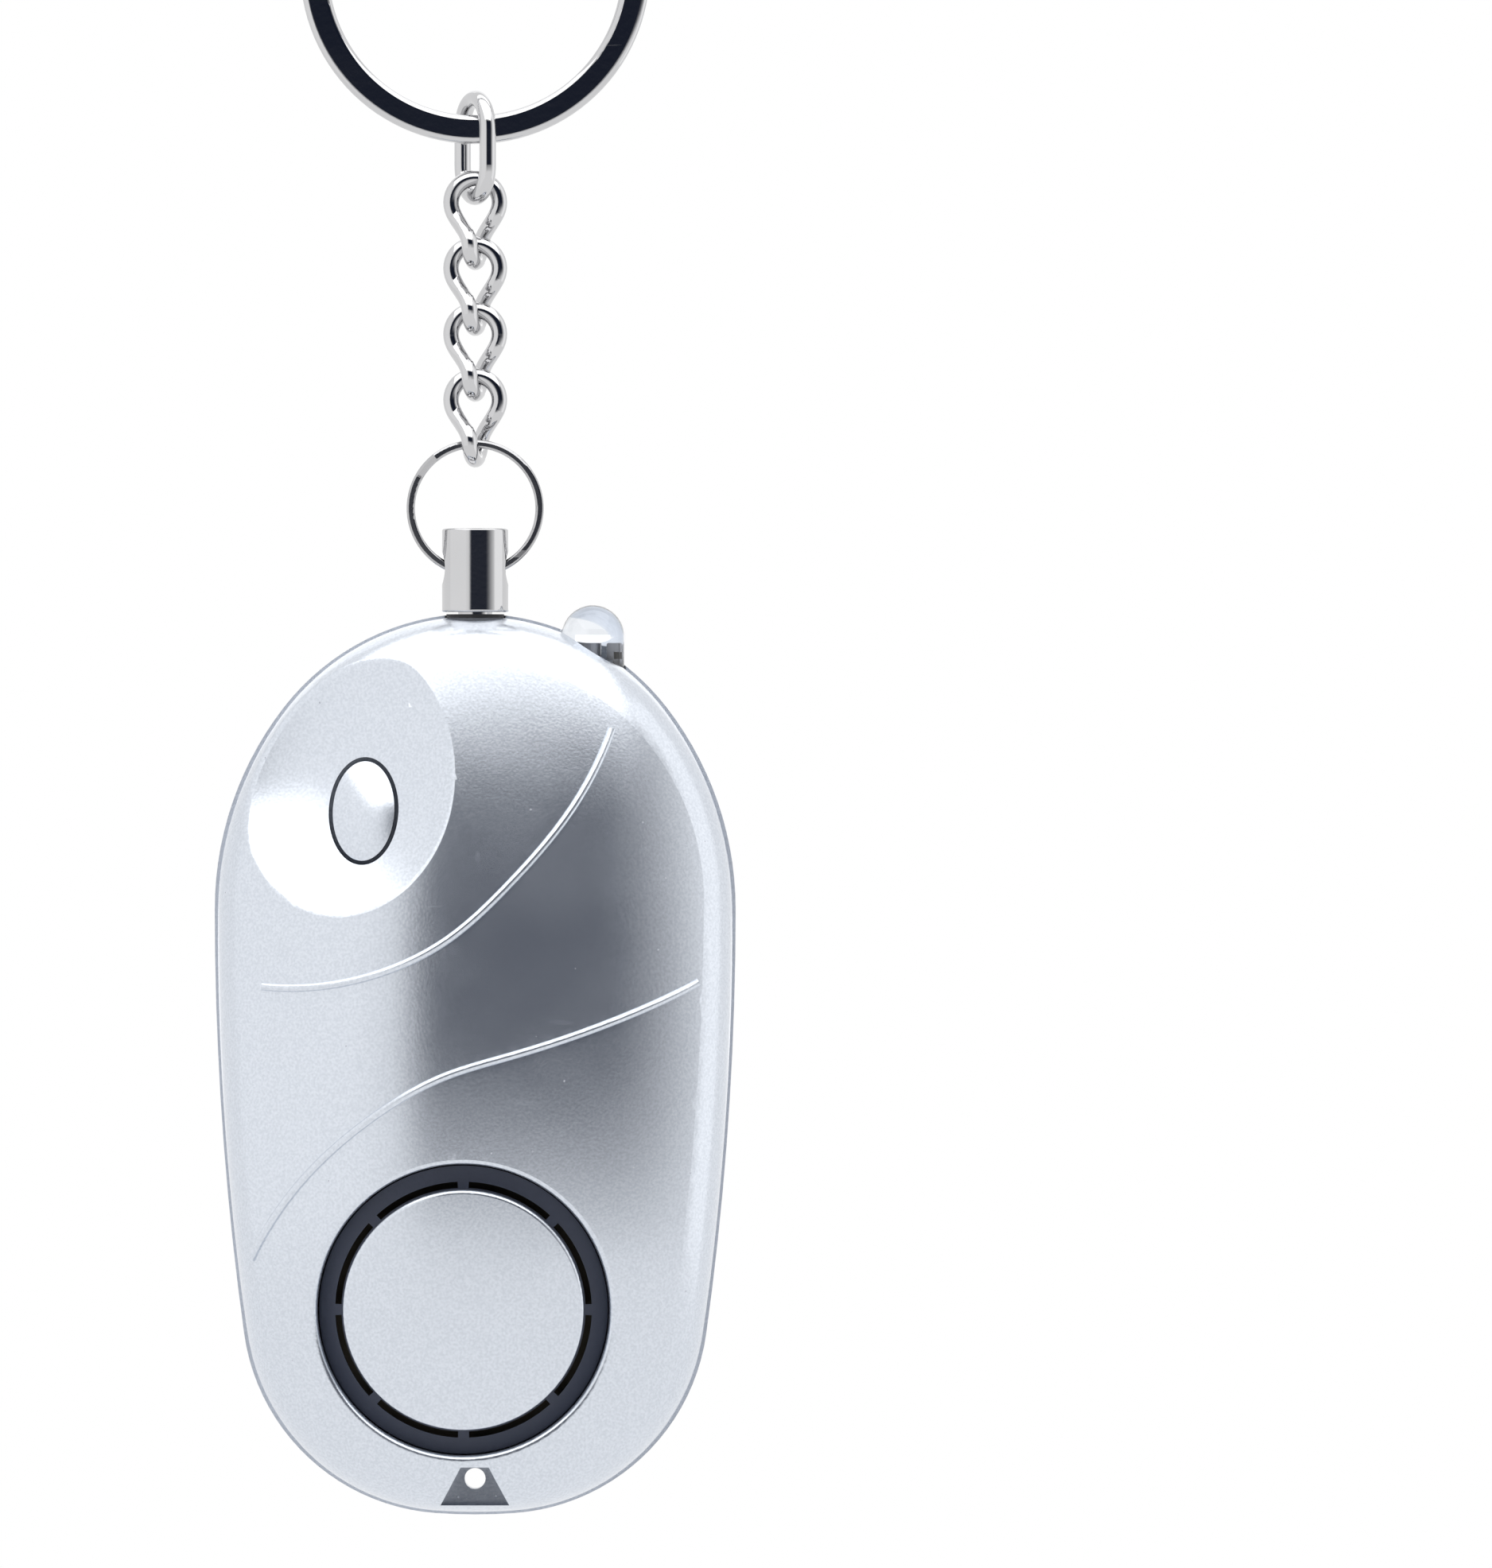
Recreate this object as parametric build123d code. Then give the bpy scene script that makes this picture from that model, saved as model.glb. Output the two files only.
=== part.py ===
from build123d import *
import os
from math import cos, degrees, pi, radians, sin, sqrt, tan

# Key ring alarm. The origin is the seat at the top of the key ring's eye, where a hook takes it.
# +Z is up, +X is to the right of the face, and the face looks towards -Y. All sizes are in mm.

# Key ring, a split ring of two flat turns
key_ring_outer = 25.0
key_ring_width = 2.05
key_ring_turn = 1.0
key_ring_turn_gap = 0.1
ring_crossing = 140.0
ring_step_angle = 6.0
flat_wire_round = 0.45

# Oval link between the key ring and the chain
top_link_wire = 1.2
top_link_inner = 3.3
top_link_straight = 2.55
top_link_turn = 24.0

# Curb chain: each link's legs twist and draw in towards its low bow
chain_links = 4
chain_wire = 1.15
chain_outer = 4.6
chain_low_outer = 4.2
chain_reach = 115.0
chain_low_reach = 75.0
chain_leg_pull = 1.0
chain_twist = 75.0
chain_length = 7.15
chain_gap = 0.15

# Small split ring
small_ring_outer = 9.8
small_ring_width = 0.6
small_ring_turn = 0.4
small_ring_turn_gap = 0.08
ring_gap = 0.25

# Pull pin
pin_head = 4.83
pin_head_above_hole = 2.85
pin_head_below_hole = 3.15
pin_hole = 2.2
pin_hole_mouth = 2.7
pin_hole_offset = 0.33
pin_shank = 2.5
pin_shank_length = 14.0
pin_tip = 0.9
pin_groove = 0.35
pin_groove_from_tip = 3.0

# Case outline, a chain of tangent arcs, as shares of the case's width or height
widest_share = 0.328
top_arc_share = 0.465
side_arc_share = 3.42
corner_arc_share = 0.4
bottom_arc_share = 1.075

# Case section: how far the front falls away at the sides and the ends, and the room at the cells
crown_across_fall = 6.46
crown_along_fall = 5.05
cell_front_room = 2.0
cell_back_room = 0.4
front_edge_round = 4.6
back_edge_round = 3.2
wall = 1.5
seam_step = 0.2
lip_thickness = 0.7
lip_height = 1.1

# Thumb dish, the light button in it and the raised waves
dish_x = -9.6
dish_drop = 11.4
dish_across_radius = 40.0
dish_along_radius = 33.0
dish_depth = 2.0
dish_tilt = 2.0
dish_wall = 1.6
dish_rim_round = 0.6
dish_tool_share = 0.8
dish_lean = 12.0
button_width = 4.4
button_length = 7.1
button_x = -7.92
button_drop = 14.1
button_lean = 3.0
button_dome = 0.7
button_flange = 0.8
button_flange_thickness = 0.6
button_travel = 0.6
button_proud = 0.75
stem_diameter = 3.0
plunger_proud = 0.8
plunger_inside = 0.9
plunger_well = 1.8
wave_width = 0.56
wave_height = 0.3
wave_round = 0.24
upper_wave = ((9.8, 8.2), (6.7, 14.3), (2.4, 19.4), (-2.1, 23.4), (-7.2, 25.8), (-15.2, 26.6))
lower_wave = (
    (16.0, 26.3), (11.1, 28.6), (2.4, 31.6), (-2.1, 33.0), (-7.2, 35.9), (-11.8, 39.9), (-16.0, 46.1),
)

# Sound outlet
sound_x = -0.8
sound_above_bottom = 14.7
sound_hole = 20.8
sound_cap_diameter = 17.2
sound_cap_round = 0.3
sound_lip_round = 0.35
sound_floor = 1.8
sound_floor_wall = 1.2
sound_slots = 8
sound_slot_width = 0.45
sound_skirt = 0.5
sound_slot_bridge = 5.0
sound_ear = 1.0
sound_ear_thickness = 0.8
sound_seat = 2.0

# Sounder
cup_outer = 20.4
cup_wall = 0.7
cup_length = 5.2
cup_floor = 1.0
cup_ledge = 0.5
cup_mouth = 1.8
cup_post = 1.8
cup_post_radius = 7.0
piezo_thickness = 0.2
ceramic_diameter = 13.0
ceramic_thickness = 0.2

# Strap eye
eye_hole = 1.5
eye_above_bottom = 2.6
eye_pocket_top = 3.45
eye_bar = 0.7
eye_pocket_top_width = 2.0
eye_pocket_bottom_width = 4.9
eye_web = 3.2
eye_wall = 0.7

# Lamp
lamp_x = 8.4
lamp_diameter = 4.5
lamp_proud = 0.6
lamp_length = 8.4
lamp_flange = 5.2
lamp_flange_thickness = 1.0
lamp_lead = 0.45
lamp_lead_pitch = 2.54

# Circuit board and what stands on it
board_front = 2.8
board_thickness = 1.0
board_left = 12.0
board_right = 10.8
board_top_drop = 8.6
board_bottom_drop = 23.5
board_edge_gap = 0.4
tact_size = 6.0
tact_height = 2.5
tact_corner = 0.4
plunger_diameter = 3.2
coil_diameter = 6.0
coil_height = 5.5
coil_rim = 0.9
coil_x = 3.2
coil_above_end = 4.9
transistor_x = -1.9
transistor_above_end = 3.3
transistor_diameter = 4.6
transistor_height = 4.4
transistor_flat = 1.4
chip_length = 5.0
chip_width = 4.0
chip_height = 1.4
chip_drop = 13.5

# Socket of the pull pin
socket_drop = 4.2
socket_outer = 5.2
socket_length = 5.4
socket_flange = 6.4
socket_flange_thickness = 1.2
contact_thickness = 0.25
contact_width = 1.8
contact_length = 5.2

# Battery
cell_diameter = 11.6
cell_height = 5.4
cell_count = 3
cell_cap_diameter = 9.4
cell_cap_height = 0.5
board_cradle_gap = 0.65
cell_y = -0.2
spring_space = 2.8
spring_leaf = 0.3
spring_width = 5.0
plate_thickness = 0.3
cradle_wall = 1.0
cradle_rail = 0.9
cradle_cup_gap = 1.9
cradle_front = 3.5

# Screws
case_screw_low_drop = 31.5
case_screw_high_drop = 15.6
case_screw_high_shift = 1.0
screw_thread = 1.7
screw_head = 3.0
screw_head_height = 1.0
screw_cross = 0.45
case_screw_length = 6.5
case_screw_spare = 0.4
boss_diameter = 4.7
boss_inset = 1.85
board_screw_x = 8.9
board_screw_above_end = 2.65
board_screw_length = 3.0
board_post = 3.0

# Leads from the board to the sounder
lead_diameter = 0.7
lead_board_x = 6.3
lead_cradle_gap = 0.45
lead_above_end = 1.1
lead_side_above_end = 0.3
lead_turn_below_cells = 9.65
lead_cup_x = 3.4
lead_cup_rises = (4.5, 6.8)
lead_depth = 4.9
lead_hole = 1.3
lead_bend_share = 0.45

# Clearances
slide_gap = 0.05
fit_gap = 0.1
part_gap = 0.25

# Heights of what hangs from the key ring, from the top down
key_wire_radius = (key_ring_outer - key_ring_width) / 2
key_ring_z = -(key_ring_outer / 2 - key_ring_width)
key_wire_z = key_ring_z - key_wire_radius
top_bow = (top_link_inner + top_link_wire) / 2
top_link_bottom_z = key_wire_z - top_link_straight - top_bow
chain_bow = (chain_outer - chain_wire) / 2
chain_pitch = chain_length - 2 * chain_wire - chain_gap
chain_top_z = top_link_bottom_z + top_link_wire / 2 + chain_gap + chain_wire / 2
chain_low_z = chain_top_z - (chain_links - 1) * chain_pitch - (chain_length - chain_wire)
small_wire_radius = (small_ring_outer - small_ring_width) / 2
small_ring_z = chain_low_z + chain_wire / 2 + ring_gap + small_ring_width / 2 - small_wire_radius
small_wire_z = small_ring_z - small_wire_radius
pin_hole_z = small_wire_z + pin_hole_offset
pin_head_bottom_z = pin_hole_z - pin_head_below_hole

# Case size, from what the case holds
cradle_half_height = cell_diameter / 2 + cradle_rail
cell_drop = board_bottom_drop + board_cradle_gap + cradle_half_height
case_height = cell_drop + cradle_half_height + cradle_cup_gap + cup_outer / 2 + sound_above_bottom
cradle_half_width = (cell_count * cell_height + spring_space + plate_thickness) / 2 + cradle_wall
lead_side_x = cradle_half_width + lead_cradle_gap + lead_diameter / 2
case_width = 2 * (lead_side_x + lead_diameter / 2 + part_gap + boss_diameter + boss_inset)
front_depth = cell_diameter / 2 - cell_y + wall + cell_front_room
back_depth = cell_diameter / 2 + cell_y + wall + cell_back_room

# Case curves
widest_drop = case_height * widest_share
top_arc = case_width * top_arc_share
side_arc = case_height * side_arc_share
corner_arc = case_width * corner_arc_share
bottom_arc = case_width * bottom_arc_share
crown_across = ((case_width / 2) ** 2 + crown_across_fall ** 2) / (2 * crown_across_fall)
crown_along = ((case_height / 2) ** 2 + crown_along_fall ** 2) / (2 * crown_along_fall)

# Places on the board and of the case's screws
coil_drop = board_bottom_drop - coil_above_end
transistor_drop = board_bottom_drop - transistor_above_end
board_screw_drop = board_bottom_drop - board_screw_above_end
lead_board_drop = board_bottom_drop - lead_above_end
lead_side_drop = board_bottom_drop - lead_side_above_end
lead_turn_drop = cell_drop + lead_turn_below_cells
case_screw_x = case_width / 2 - boss_inset - boss_diameter / 2
case_screw_spots = (
    (-case_screw_x, -case_screw_low_drop),
    (case_screw_x, -case_screw_low_drop),
    (case_screw_x - case_screw_high_shift, -case_screw_high_drop),
)

# Case levels
case_top = pin_head_bottom_z - fit_gap
case_bottom = case_top - case_height
case_middle = case_top - widest_drop
sound_z = case_bottom + sound_above_bottom
eye_z = case_bottom + eye_above_bottom
cell_z = case_top - cell_drop
dish_z = case_top - dish_drop
button_z = case_top - button_drop


def flat_wire(width, thickness):
    """The section of a flat wire with rounded corners."""
    return RectangleRounded(width, thickness, min(width, thickness) * flat_wire_round)


def ring_sector(radius, width, thickness, y, start, sweep):
    """Part of a flat wire ring in the XZ plane, round the Y axis."""
    section = Plane.XY * Pos(radius, y) * flat_wire(width, thickness)
    return Rot(0, -start, 0) * revolve(section, Axis.Y, -sweep)


def split_ring(outer, width, turn, turn_gap, z):
    """A split ring: a front turn and a back turn, joined by a slanting step near its top."""
    radius = (outer - width) / 2
    layer = (turn + turn_gap) / 2
    gap_angle = degrees(2 * layer / radius) + ring_step_angle
    start = ring_crossing + gap_angle
    sweep_angle = 360 - 2 * gap_angle
    front = ring_sector(radius, width, turn, -layer, start, sweep_angle)
    back = ring_sector(radius, width, turn, layer, start, sweep_angle)
    stages = []
    for share in (-1, -0.5, 0, 0.5, 1):
        section = Plane.XY * Pos(radius, share * layer) * flat_wire(width, turn)
        stages.append((Rot(0, -(ring_crossing + share * gap_angle), 0) * section).face())
    step = loft(stages)
    return Pos(0, 0, z) * (front + back + step)


def tube(path, diameter):
    """A round wire along a path, started square to the path's own start."""
    start = Plane(origin=path @ 0, z_dir=path % 0)
    return sweep(start * Circle(diameter / 2), path)


def oval_link():
    """The oval link: two half rounds and two straights, turned a little to the key ring."""
    top = Vector(0, 0, key_wire_z)
    low = Vector(0, 0, key_wire_z - top_link_straight)
    side = Vector(0, -top_bow, 0)
    path = Wire([
        Line(top - side, low - side).edge(),
        ThreePointArc(low - side, low - Vector(0, 0, top_bow), low + side).edge(),
        Line(low + side, top + side).edge(),
        ThreePointArc(top + side, top + Vector(0, 0, top_bow), top - side).edge(),
    ])
    return Rot(0, 0, top_link_turn) * tube(path, top_link_wire)


def chain_link(top_z):
    """A curb link: a top bow across the chain, two legs in a twisted V and a narrower low bow."""
    low_bow = (chain_low_outer - chain_wire) / 2
    high_centre = Vector(0, 0, top_z - chain_bow)
    low_centre = Vector(0, 0, top_z - (chain_length - chain_wire) + low_bow)
    reach = radians(chain_reach)
    low_reach = radians(chain_low_reach)
    twist = radians(chain_twist)
    across = Vector(cos(twist), sin(twist), 0)
    down = Vector(0, 0, -1)
    shoulders, feet, legs = [], [], []
    for side in (-1, 1):
        shoulder = high_centre + Vector(side * sin(reach), 0, cos(reach)) * chain_bow
        foot = low_centre + (across * side * sin(low_reach) + down * cos(low_reach)) * low_bow
        leaving = Vector(side * cos(reach), 0, -sin(reach))
        arriving = down * sin(low_reach) - across * side * cos(low_reach)
        pull = (chain_leg_pull, chain_leg_pull)
        shoulders.append(shoulder)
        feet.append(foot)
        legs.append(Spline(shoulder, foot, tangents=(leaving, arriving), tangent_scalars=pull))
    high_arc = ThreePointArc(shoulders[0], (0, 0, top_z), shoulders[1])
    low_arc = ThreePointArc(feet[0], low_centre + down * low_bow, feet[1])
    upper = Wire([legs[0].reversed().edge(), high_arc.edge(), legs[1].edge()])
    return tube(upper, chain_wire) + tube(low_arc, chain_wire)


def pull_pin():
    """The pin: a turned head with a cross hole for the small ring, and a shank with a snap groove."""
    tip_z = pin_head_bottom_z - pin_shank_length
    groove_z = tip_z + pin_groove_from_tip
    profile = Polyline(
        (0, pin_hole_z + pin_head_above_hole),
        (pin_head / 2, pin_hole_z + pin_head_above_hole),
        (pin_head / 2, pin_head_bottom_z),
        (pin_shank / 2, pin_head_bottom_z),
        (pin_shank / 2, groove_z + pin_groove),
        (pin_shank / 2 - pin_groove, groove_z),
        (pin_shank / 2, groove_z - pin_groove),
        (pin_shank / 2, tip_z + pin_tip),
        (pin_shank / 2 - pin_tip / 2, tip_z),
        (0, tip_z),
        close=True,
    )
    body = revolve(make_face(Plane.XZ * profile), Axis.Z)
    rims = body.edges().filter_by(GeomType.CIRCLE).filter_by(
        lambda edge: abs(edge.radius - pin_head / 2) < pin_tip / 10)
    body = fillet(rims, pin_groove / 2)
    hole = Pos(0, 0, pin_hole_z) * Rot(0, 90, 0) * Cylinder(pin_hole / 2, 2 * pin_head)
    flare = (pin_hole_mouth - pin_hole) / 2
    for side in (-1, 1):
        mouth = Cone(pin_hole / 2, pin_hole / 2 + 2 * flare, 2 * flare)
        place = Pos(side * pin_head / 2, 0, pin_hole_z) * Rot(0, side * 90, 0)
        body -= place * mouth
    return body - hole


def case_arcs():
    """Centres and radii of the outline's arcs on the right side, from the top arc to the low one."""
    half = case_width / 2
    rise = widest_drop - top_arc
    shoulder_arc = (half ** 2 + rise ** 2 - top_arc ** 2) / (2 * (half - top_arc))
    top = Vector(0, case_middle + rise)
    shoulder = Vector(half - shoulder_arc, case_middle)
    side = Vector(half - side_arc, case_middle)
    low = Vector(0, case_bottom + bottom_arc)
    span = (low - side).length
    along = ((side_arc - corner_arc) ** 2 - (bottom_arc - corner_arc) ** 2 + span ** 2) / (2 * span)
    across = sqrt((side_arc - corner_arc) ** 2 - along ** 2)
    ahead = (low - side) / span
    corner = side + ahead * along + Vector(ahead.Y, -ahead.X) * across
    return ((top, top_arc), (shoulder, shoulder_arc), (side, side_arc), (corner, corner_arc),
            (low, bottom_arc))


def case_outline(inset):
    """The case's outline, drawn in by an inset, as a face in the XZ plane."""
    arcs = case_arcs()
    ways = [
        (arcs[0][0] - arcs[1][0]).normalized(),
        Vector(1, 0),
        (arcs[3][0] - arcs[2][0]).normalized(),
        (arcs[3][0] - arcs[4][0]).normalized(),
    ]
    right = []
    for joint, way in enumerate(ways):
        centre, radius = arcs[joint]
        if joint == 3:
            centre, radius = arcs[4]
        right.append(centre + way * (radius - inset))
    edges = []
    for start, end, (centre, radius) in zip(right, right[1:], arcs[1:4]):
        middle = (start + end) / 2 - centre
        between = centre + middle.normalized() * (radius - inset)
        edges.append(ThreePointArc(start, between, end))
        mirrored = [Vector(-point.X, point.Y) for point in (start, between, end)]
        edges.append(ThreePointArc(*mirrored))
    for joint, height in ((right[0], case_top - inset), (right[3], case_bottom + inset)):
        edges.append(ThreePointArc((-joint.X, joint.Y), (0, height), joint))
    return make_face(Plane.XZ * Curve(edges))


def slab(face, low_y, high_y):
    """A face of the XZ plane made solid from one depth to another."""
    return extrude(Pos(0, low_y, 0) * face, high_y - low_y, dir=(0, 1, 0))


def crown(inset):
    """The front's barrel: gently round along the case and rounder across it."""
    reach = case_height
    centre_y = -front_depth + crown_along
    axis_y = -front_depth + crown_across
    radius = crown_along - inset
    half = min(reach, radius * 0.9) * 0.75
    drop = centre_y - sqrt(radius ** 2 - half ** 2)
    middle = case_middle - (case_height / 2 - widest_drop)
    points = [(axis_y, half), (drop, half), (centre_y - radius, 0), (drop, -half), (axis_y, -half)]
    ends = [Vector(0, y, middle + z) for y, z in points]
    outline = Wire([
        Line(ends[0], ends[1]).edge(),
        ThreePointArc(ends[1], ends[2], ends[3]).edge(),
        Line(ends[3], ends[4]).edge(),
        Line(ends[4], ends[0]).edge(),
    ])
    return revolve(Face(outline), Axis((0, axis_y, 0), (0, 0, 1)), 360)


def front_form(inset, reach=0.0):
    """The front half of the case as a full body, drawn in by an inset."""
    block = slab(case_outline(seam_step + inset), -front_depth - 1, reach)
    body = block & crown(inset)
    edge = body.edges().filter_by(lambda e: e.center().Y < reach - 0.5 and not on_side(e))
    return fillet(edge, front_edge_round - inset)


def on_side(edge):
    """Whether an edge runs straight front to back, as the outline's joints do."""
    way = edge.tangent_at(0.5)
    return edge.geom_type == GeomType.LINE and abs(way.Y) > 0.99


def back_form(inset, reach=0.0):
    """The back half of the case as a full body with a flat back, drawn in by an inset."""
    body = slab(case_outline(inset), reach, back_depth - inset)
    edge = body.edges().filter_by(lambda e: e.center().Y > back_depth - inset - 0.01)
    return fillet(edge, back_edge_round - inset)


def crown_y(x, z):
    """Depth of the crowned front at a place on the face."""
    middle = case_middle - (case_height / 2 - widest_drop)
    bend = crown_along - sqrt(crown_along ** 2 - (z - middle) ** 2)
    return crown_across - front_depth - sqrt((crown_across - bend) ** 2 - x ** 2)


def largest(shape):
    """The largest solid of a cut shape."""
    return shape.solids().sort_by(SortBy.VOLUME)[-1]


def round_bar(x, z, diameter, low_y, high_y):
    """A round bar that runs front to back."""
    length = high_y - low_y
    return Pos(x, (low_y + high_y) / 2, z) * Rot(90, 0, 0) * Cylinder(diameter / 2, length)


def upright_bar(x, low_z, high_z, diameter):
    """A round bar that stands upright in the middle plane."""
    return Pos(x, 0, (low_z + high_z) / 2) * Cylinder(diameter / 2, high_z - low_z)


def box_between(low, high):
    """A box given by its lowest and highest corners."""
    size = [b - a for a, b in zip(low, high)]
    middle = [(a + b) / 2 for a, b in zip(low, high)]
    return Pos(*middle) * Box(*size)


def dish_frame():
    """The dish's deepest point, the way out of the dish and the way along it."""
    rise = dish_z - case_middle + case_height / 2 - widest_drop
    surface = Vector(dish_x, crown_y(dish_x, dish_z), dish_z)
    out = Vector(dish_x / crown_across, -1, rise / crown_along).normalized().rotate(Axis.Z, -dish_tilt)
    lean = Vector(sin(radians(dish_lean)), 0, cos(radians(dish_lean)))
    lean = (lean - out * lean.dot(out)).normalized()
    return surface - out * dish_depth, out, lean


def dish_y(x, z):
    """Depth of the dish's floor at a spot, from its tangent plane and its two radii."""
    deepest, out, lean = dish_frame()
    plane_y = deepest.Y - (out.X * (x - deepest.X) + out.Z * (z - deepest.Z)) / out.Y
    reach = Vector(x, plane_y, z) - deepest
    along = reach.dot(lean)
    across_square = reach.dot(reach) - along ** 2
    rise = across_square / (2 * dish_across_radius) + along ** 2 / (2 * dish_along_radius)
    return plane_y + rise / out.Y


def dish_tool(grow):
    """The scoop that leaves the thumb dish, a barrel shape, grown by a wall for the inside."""
    across = dish_across_radius
    along = dish_along_radius
    deepest, out, lean = dish_frame()
    place = Plane(deepest + out * across, x_dir=out, z_dir=lean)
    half = along * dish_tool_share
    width = across - along + sqrt((along + grow) ** 2 - half ** 2)
    outline = Wire([
        Line((0, 0, half), (width, 0, half)).edge(),
        ThreePointArc((width, 0, half), (across + grow, 0, 0), (width, 0, -half)).edge(),
        Line((width, 0, -half), (0, 0, -half)).edge(),
        Line((0, 0, -half), (0, 0, half)).edge(),
    ])
    return place * revolve(Face(outline), Axis.Z, 360)


def wave(points):
    """A raised bead with rounded shoulders that follows a curve over the crowned front."""
    curve = Spline(*[(x, case_top - drop) for x, drop in points])
    ribbon = Plane.XZ * trace(curve, wave_width)
    bead = slab(ribbon, -front_depth - 1, -wall) & front_form(-wave_height)
    along = bead.edges().filter_by(lambda edge: edge.length > 2 * wave_width)
    shoulders = along.filter_by(lambda edge: edge.center().Y < -2 * wall and abs((edge % 0.5).Y) < 0.7)
    return fillet(shoulders, wave_round)


def button_outline(grow):
    """The oval of the light button, grown by a gap or a flange, as a face of the XZ plane."""
    oval = Ellipse(button_width / 2 + grow, button_length / 2 + grow)
    return Plane.XZ * Pos(button_x, button_z) * Rot(0, 0, -button_lean) * oval


def eye_pocket(grow):
    """The strap eye's wedge-shaped pocket as a face of the XZ plane."""
    top = case_bottom + eye_pocket_top + grow
    low = case_bottom + eye_bar - grow
    high_half = eye_pocket_top_width / 2 + grow
    low_half = eye_pocket_bottom_width / 2 + grow
    outline = Polyline((-low_half, low), (low_half, low), (high_half, top), (-high_half, top), close=True)
    return Plane.XZ * make_face(outline)


def socket_levels():
    """Heights of the pin socket: its flange's top and bottom, and its own low end."""
    top = case_top - socket_drop
    return top, top - socket_flange_thickness, top - socket_length


def saddle(form, low_y, high_y):
    """A rib in one shell that holds half of the pin socket, under its flange."""
    top = socket_levels()[1] - fit_gap
    rib = box_between((-socket_flange / 2 - wall, low_y, top - socket_flange_thickness),
                      (socket_flange / 2 + wall, high_y, top))
    return (rib & form) - upright_bar(0, case_bottom, case_top, socket_outer + 2 * fit_gap)


def top_holes():
    """The bores through the case's top for the pin socket's neck and for the lamp."""
    neck = upright_bar(0, case_top - 2 * wall, case_top + wall, pin_head - 2 * pin_groove + 2 * fit_gap)
    top, flange_top, base = lamp_levels()
    lamp = upright_bar(lamp_x, base - part_gap, case_top + lamp_length, lamp_diameter + 2 * fit_gap)
    flange = upright_bar(lamp_x, base - part_gap, flange_top + part_gap, lamp_flange + 2 * fit_gap)
    return neck + lamp + flange


def lamp_levels():
    """Heights of the lamp: its dome's top, its flange's top and its base."""
    top = case_top + lamp_proud
    return top, top - lamp_length + lamp_flange_thickness, top - lamp_length


def front_room(gap):
    """The room inside the front cover, under the dish's floor, drawn in by a gap."""
    return largest(front_form(wall + gap) - dish_tool(dish_wall + gap))


def front_shell():
    """Front cover: dish, waves, sound hole, half of the strap eye, screw bosses and saddle."""
    body = largest(front_form(0) - dish_tool(0))
    dish_face = body.faces().sort_by_distance(dish_frame()[0])[0]
    body = body.fillet(dish_rim_round, dish_face.edges())
    body -= round_bar(sound_x, sound_z, sound_hole, -front_depth - 1, -1)
    mouth = body.edges().filter_by(lambda edge: abs(edge.length - pi * sound_hole) < wall)
    body = body.fillet(sound_lip_round, mouth.sort_by(Axis.Y)[:1])
    body += wave(upper_wave) + wave(lower_wave)
    body -= front_room(0) - slab(eye_pocket(eye_wall), -front_depth - 1, 1)
    within = front_form(wall / 2)
    pilot_end = case_screw_seat() - case_screw_length - case_screw_spare
    for x, drop in case_screw_spots:
        z = case_top + drop
        boss = round_bar(x, z, boss_diameter, -front_depth, 0) & within
        body += boss
        body -= round_bar(x, z, screw_thread - 2 * slide_gap, pilot_end, 1)
    body += saddle(within, -front_depth, 0)
    body -= top_holes()
    body -= slab(button_outline(part_gap + slide_gap), -front_depth, -1)
    body -= slab(eye_pocket(0), -front_depth - 1, -eye_web / 2)
    body -= round_bar(0, eye_z, eye_hole, -front_depth - 1, 1)
    return body


def back_shell():
    """Back cover: flat back, locating lip, screw wells, posts for the board and the sounder."""
    body = back_form(0)
    inside = back_form(wall) - slab(eye_pocket(eye_wall), -1, back_depth + 1)
    body -= inside
    lip_inset = seam_step + wall + slide_gap
    hollow = slab(case_outline(lip_inset + lip_thickness), -front_depth, back_depth)
    lip = (slab(case_outline(lip_inset), -lip_height, 0) & front_room(slide_gap)) - hollow
    root = slab(case_outline(wall / 2), 0, wall) - hollow
    root &= slab(case_outline(lip_inset), 0, wall) + slab(case_outline(wall / 2), wall / 2, wall)
    within = back_form(wall / 2)
    lip -= slab(eye_pocket(eye_wall + part_gap), -front_depth, 0)
    lip -= box_between((-socket_flange, -front_depth, socket_levels()[2]), (socket_flange, 0, case_top))
    for x, drop in case_screw_spots:
        lip -= round_bar(x, case_top + drop, boss_diameter + 2 * part_gap, -lip_height - 1, 0)
    body += lip + root
    for x, drop in case_screw_spots:
        z = case_top + drop
        body += round_bar(x, z, boss_diameter, 0, back_depth) & within
    for x, z in board_posts():
        body += round_bar(x, z, board_post, board_front + board_thickness, back_depth) & within
    for turn in (0, 180, 270):
        x = sound_x + cup_post_radius * cos(radians(turn))
        z = sound_z + cup_post_radius * sin(radians(turn))
        body += round_bar(x, z, cup_post, cup_length - sound_seat, back_depth) & within
    body += saddle(within, 0, back_depth)
    for x, drop in case_screw_spots:
        z = case_top + drop
        body -= round_bar(x, z, screw_thread + 2 * fit_gap, -1, back_depth + 1)
        body -= round_bar(x, z, screw_head + 2 * fit_gap, case_screw_seat(), back_depth + 1)
    for x, z in board_posts():
        body -= round_bar(x, z, screw_thread - 2 * slide_gap, board_front, back_depth - wall)
    body -= top_holes()
    body -= slab(eye_pocket(0), eye_web / 2, back_depth + 1)
    body -= round_bar(0, eye_z, eye_hole, -1, back_depth + 1)
    return body


def board_posts():
    """Places of the two posts that the circuit board is screwed to."""
    return [(side * board_screw_x, case_top - board_screw_drop) for side in (-1, 1)]


def case_screw_seat():
    """Depth at which the heads of the case screws sit."""
    return back_depth - screw_head_height - wall


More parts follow.
